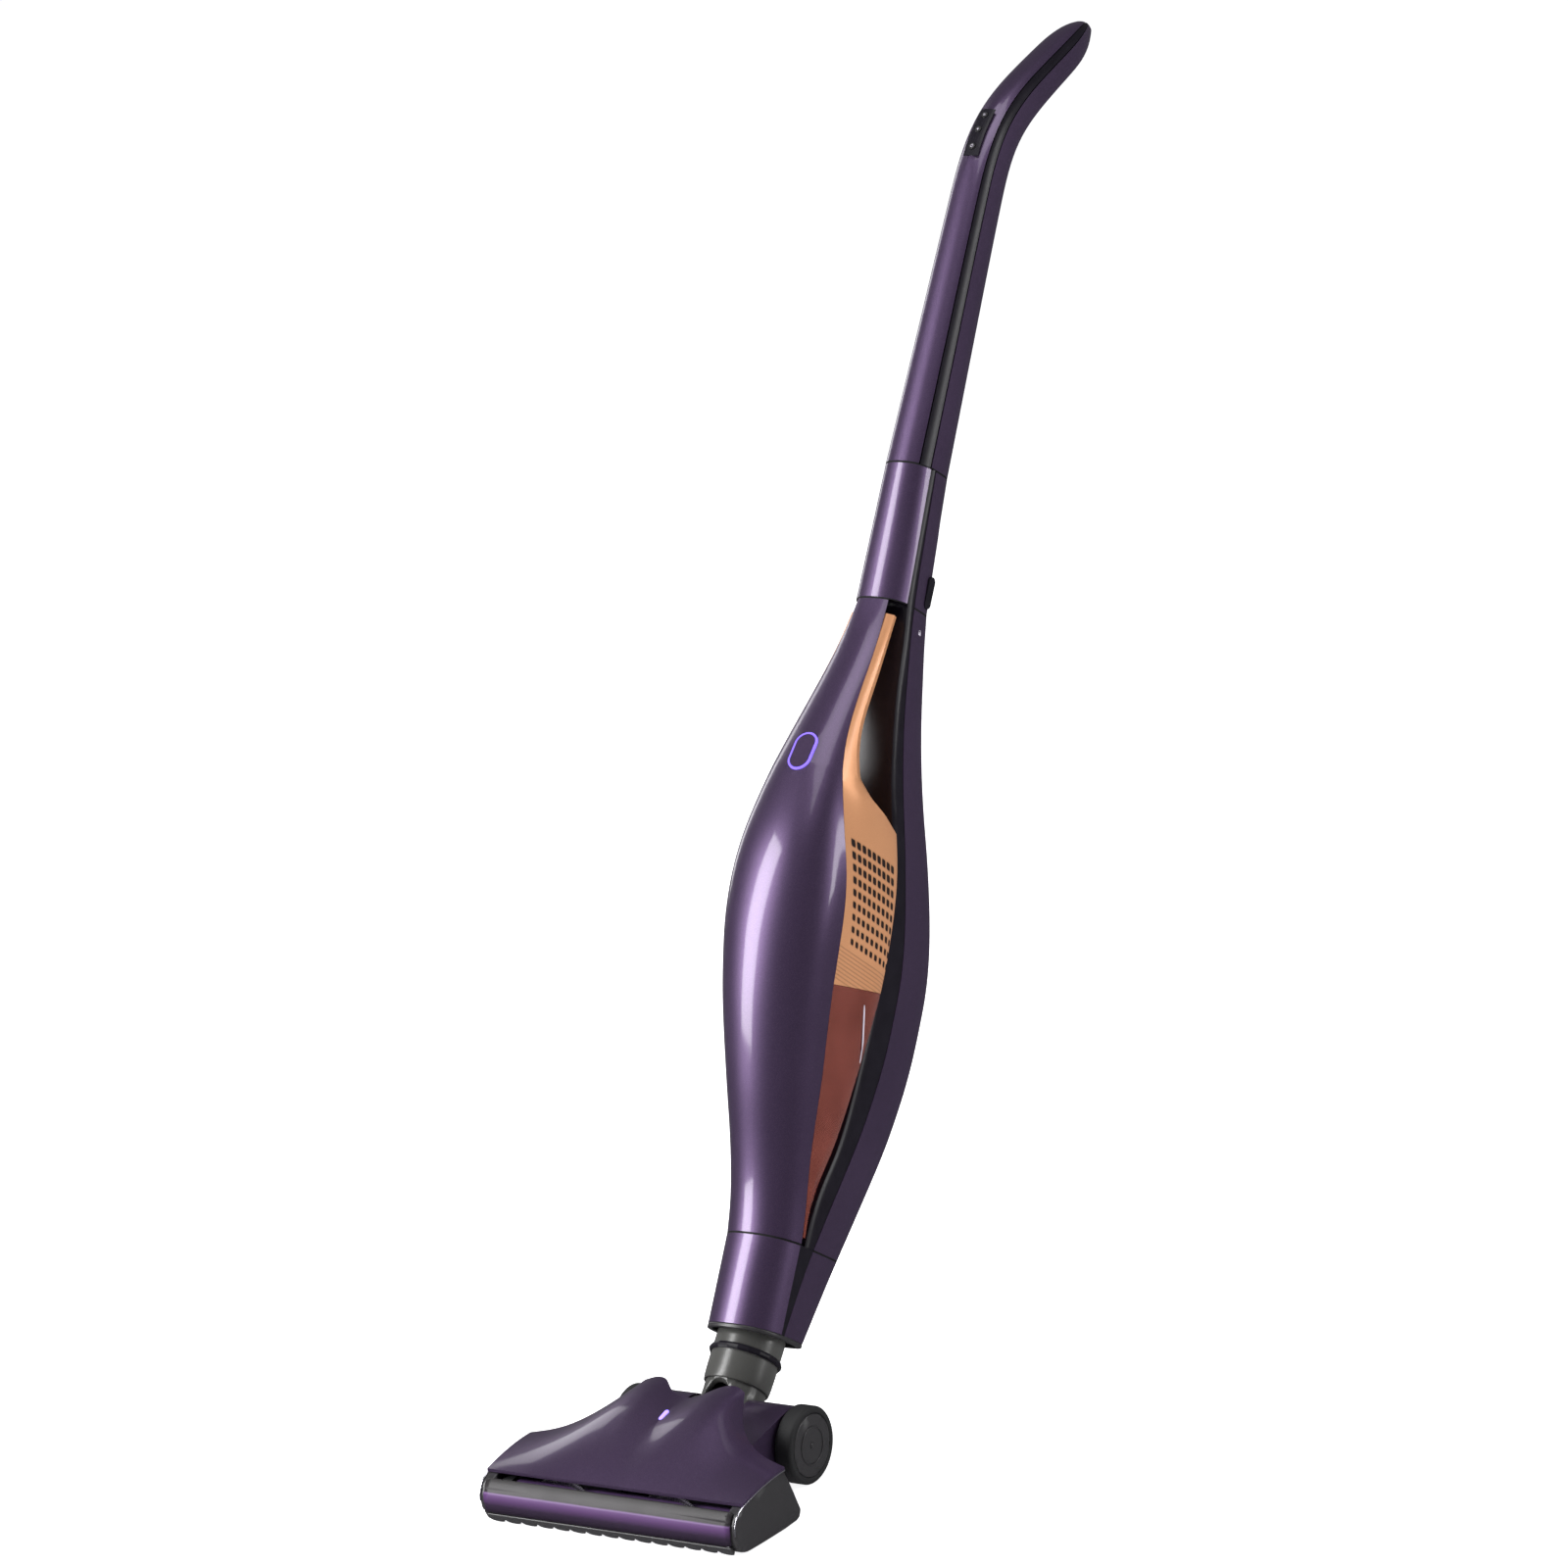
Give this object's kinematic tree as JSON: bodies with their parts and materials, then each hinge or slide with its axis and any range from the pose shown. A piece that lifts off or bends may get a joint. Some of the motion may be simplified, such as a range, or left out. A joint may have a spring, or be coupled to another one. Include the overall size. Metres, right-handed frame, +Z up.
{
  "type": "cordless stick vacuum",
  "caption": "Upright cordless stick vacuum: a bulb-shaped handheld docked in a bowed stick, on a swivelling floor head with a brush roller and wheels.",
  "frame": {"origin": "middle of the felt strip on the sole, on the floor, 66 mm behind the front of the floor head", "axes": "+Z up; +X to the right of someone who faces the front of the head; the head faces -Y; the stick leans back 31.6 degrees towards +Y"},
  "size_m": [0.234, 0.8644, 1.0056],
  "materials": {
    "purple": "metallic purple lacquer, glossy",
    "black_gloss": "piano black, glossy",
    "graphite": "dark grey, satin",
    "copper": "copper metallic, satin",
    "amber_clear": "translucent brownish red",
    "violet_clear": "translucent smoked violet",
    "violet_light": "lit violet lens",
    "rubber": "black rubber",
    "steel": "bare metal",
    "brass": "plated contact",
    "board": "circuit board",
    "white_filter": "pleated filter",
    "cell_wrap": "shrink wrapped cells",
    "bristle": "dark bristles",
    "felt": "felt strip"
  },
  "bodies": {
    "head": {"head_top_shell": "purple", "end_cap_left": "graphite", "end_cap_right": "graphite", "head_base": "graphite", "roller_window": "violet_clear", "front_comb": "graphite", "indicator_lens": "violet_light", "sole_felt": "felt", "sole_axle": "steel", "roller_bearing_left": "steel", "roller_bearing_right": "steel", "brush_motor": "steel", "drive_belt": "rubber", "wheel_housing_left": "purple", "wheel_housing_right": "purple", "stub_axle_left": "steel", "stub_axle_right": "steel", "suction_hose": "rubber"},
    "brush": {"brush_roller": "violet_clear", "bristle_strips": "bristle", "roller_pulley": "graphite"},
    "drive_pulley": {"motor_pulley": "graphite"},
    "sole_wheel": {"sole_roller": "rubber"},
    "wheel_left": {"wheel_tyre_left": "rubber", "wheel_hub_left": "graphite"},
    "wheel_right": {"wheel_tyre_right": "rubber", "wheel_hub_right": "graphite"},
    "yoke": {"neck_yoke": "graphite"},
    "stick": {"neck_elbow": "graphite", "neck_collar": "black_gloss", "lower_front_shell": "purple", "lower_core": "black_gloss", "hem_trim": "graphite", "spine_shell": "purple", "spine_liner": "black_gloss", "frame_front_shell": "purple", "handle_front_shell": "purple", "handle_rear_shell": "purple", "handle_core": "black_gloss", "air_duct": "graphite", "charging_contact_left": "brass", "charging_contact_right": "brass", "latch_spring": "steel", "control_panel": "black_gloss"},
    "neck_tab": {"neck_release_tab": "graphite"},
    "release_button": {"handheld_release_button": "black_gloss"},
    "key_power": {"power_key": "graphite"},
    "key_boost": {"boost_key": "graphite"},
    "key_brush": {"brush_key": "graphite"},
    "handheld": {"handheld_front_shell": "purple", "motor_housing": "copper", "dust_bin": "amber_clear", "filter_cone": "white_filter", "suction_motor": "steel", "battery_pack": "cell_wrap", "control_board": "board", "ring_lens": "violet_light"},
    "ring_button": {"power_button": "purple"},
    "flap": {"inlet_flap": "rubber"},
    "impeller": {"fan": "graphite"}
  },
  "joints": [
    {"name": "brush_spin", "type": "hinge", "parent": "head", "child": "brush", "pos_m": [0, -0.044, 0.0192], "axis": [1, 0, 0], "continuous": true},
    {"name": "drive_pulley_spin", "type": "hinge", "parent": "head", "child": "drive_pulley", "pos_m": [0, -0.0065, 0.026], "axis": [1, 0, 0], "continuous": true},
    {"name": "wheel_left_spin", "type": "hinge", "parent": "head", "child": "wheel_left", "pos_m": [0, 0.0937, 0.0306], "axis": [1, 0, 0], "continuous": true},
    {"name": "wheel_right_spin", "type": "hinge", "parent": "head", "child": "wheel_right", "pos_m": [0, 0.0937, 0.0306], "axis": [1, 0, 0], "continuous": true},
    {"name": "sole_wheel_spin", "type": "hinge", "parent": "head", "child": "sole_wheel", "pos_m": [0, 0, 0.007], "axis": [1, 0, 0], "continuous": true},
    {"name": "neck_pitch", "type": "hinge", "parent": "head", "child": "yoke", "pos_m": [0, 0.0937, 0.0306], "axis": [-1, 0, 0], "range_deg": [-31.6, 40]},
    {"name": "neck_swivel", "type": "hinge", "parent": "yoke", "child": "stick", "pos_m": [0, 0.0937, 0.0306], "axis": [0, 0.6547, 0.7559], "range_deg": [-75, 75]},
    {"name": "neck_tab_press", "type": "slide", "parent": "stick", "child": "neck_tab", "axis": [0, -0.7559, 0.6547], "range_m": [0, 0.002], "stiffness_N_per_m": 600},
    {"name": "release_press", "type": "slide", "parent": "stick", "child": "release_button", "axis": [-1, 0, 0], "range_m": [0, 0.0015], "stiffness_N_per_m": 600, "deforming": ["latch_spring"]},
    {"name": "power_key_press", "type": "slide", "parent": "stick", "child": "key_power", "axis": [0, 0.7898, -0.6133], "range_m": [0, 0.0008], "stiffness_N_per_m": 500},
    {"name": "boost_key_press", "type": "slide", "parent": "stick", "child": "key_boost", "axis": [0, 0.686, -0.7276], "range_m": [0, 0.0008], "stiffness_N_per_m": 500},
    {"name": "brush_key_press", "type": "slide", "parent": "stick", "child": "key_brush", "axis": [0, 0.6278, -0.7784], "range_m": [0, 0.0008], "stiffness_N_per_m": 500},
    {"name": "handheld_slide", "type": "slide", "parent": "stick", "child": "handheld", "axis": [0, -0.8517, 0.524], "range_m": [0, 0.15]},
    {"name": "power_button_press", "type": "slide", "parent": "handheld", "child": "ring_button", "axis": [0, 0.6632, -0.7485], "range_m": [0, 0.0012], "stiffness_N_per_m": 900},
    {"name": "inlet_flap_swing", "type": "hinge", "parent": "handheld", "child": "flap", "pos_m": [0, 0.18609, 0.16361], "axis": [-1, 0, 0], "range_deg": [0, 30]},
    {"name": "fan_spin", "type": "hinge", "parent": "handheld", "child": "impeller", "pos_m": [0, 0.27251, 0.34796], "axis": [0, 0.524, 0.8517], "continuous": true}
  ],
  "couplings": [
    {"joint": "drive_pulley_spin", "follows": "brush_spin", "ratio": 2}
  ]
}
